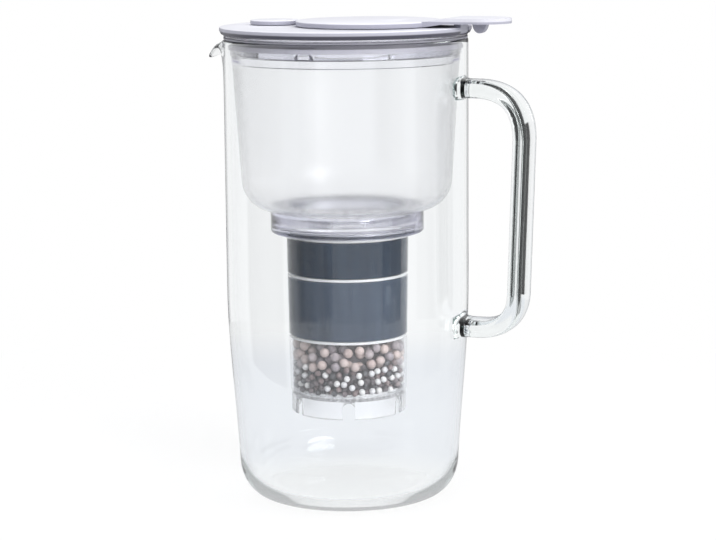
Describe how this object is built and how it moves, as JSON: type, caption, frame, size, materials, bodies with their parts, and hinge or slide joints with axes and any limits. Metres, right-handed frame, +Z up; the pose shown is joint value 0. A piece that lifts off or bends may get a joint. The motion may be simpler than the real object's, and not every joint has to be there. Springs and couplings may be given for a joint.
{
  "type": "water filter pitcher",
  "caption": "Tall glass jug with a handle and pouring lip, holding a filter cartridge screwed under a lidded funnel bowl; the lid has a fill flap and a small dial.",
  "frame": {"origin": "centre of the jug's flat foot, on the surface it stands on", "axes": "+Z up along the jug's axis, +X towards the handle, -X towards the pouring lip"},
  "size_m": [0.1751, 0.1286, 0.248],
  "materials": {
    "jug_glass": "clear",
    "handle_glass": "clear, slightly green",
    "frosted_plastic": "frosted",
    "clear_plastic": "clear",
    "cartridge_plastic": "clear",
    "lavender_plastic": "satin",
    "white_plastic": "satin",
    "silicone": "matt",
    "pin_steel": "ground",
    "fleece": "felted",
    "dark_pack": "granular",
    "grey_pack": "granular",
    "beige_beads": "matt balls",
    "mixed_beads": "matt balls"
  },
  "bodies": {
    "jug": {"jug_body": "jug_glass", "jug_handle": "handle_glass"},
    "reservoir": {"reservoir_bowl": "frosted_plastic", "rim_gasket": "silicone", "neck_gasket": "silicone"},
    "lid": {"lid_plate": "lavender_plastic", "lid_seal": "silicone", "hinge_pin": "pin_steel"},
    "flap": {"flap_cover": "lavender_plastic"},
    "dial": {"reminder_dial": "lavender_plastic"},
    "cartridge": {"cartridge_shell": "cartridge_plastic", "cartridge_grid": "white_plastic", "inlet_fleece": "fleece", "upper_filter_pack": "dark_pack", "upper_divider": "white_plastic", "lower_filter_pack": "grey_pack", "lower_divider": "white_plastic", "large_ceramic_beads": "beige_beads", "small_mineral_beads": "mixed_beads", "outlet_fleece": "fleece", "sieve_base": "cartridge_plastic"},
    "collar": {"clamp_ring": "clear_plastic"}
  },
  "joints": [
    {"name": "reservoir_lift", "type": "slide", "parent": "jug", "child": "reservoir", "axis": [0, 0, 1], "range_m": [0, 0.2]},
    {"name": "lid_lift", "type": "slide", "parent": "reservoir", "child": "lid", "axis": [0, 0, 1], "range_m": [0, 0.03]},
    {"name": "flap_hinge", "type": "hinge", "parent": "lid", "child": "flap", "pos_m": [0.0618, 0, 0.24155], "axis": [0, 1, 0], "range_deg": [0, 70]},
    {"name": "dial_turn", "type": "hinge", "parent": "lid", "child": "dial", "pos_m": [-0.039, 0, 0.2436], "axis": [0, 0, 1], "continuous": true},
    {"name": "cartridge_drop", "type": "slide", "parent": "reservoir", "child": "cartridge", "axis": [0, 0, -1], "range_m": [0, 0.00672]},
    {"name": "ring_turn", "type": "hinge", "parent": "cartridge", "child": "collar", "pos_m": [0, 0, 0.1437], "axis": [0, 0, -1], "range_deg": [0, 756]}
  ],
  "couplings": [
    {"joint": "ring_turn", "follows": "cartridge_drop", "rad_per_m": 1963.5}
  ]
}
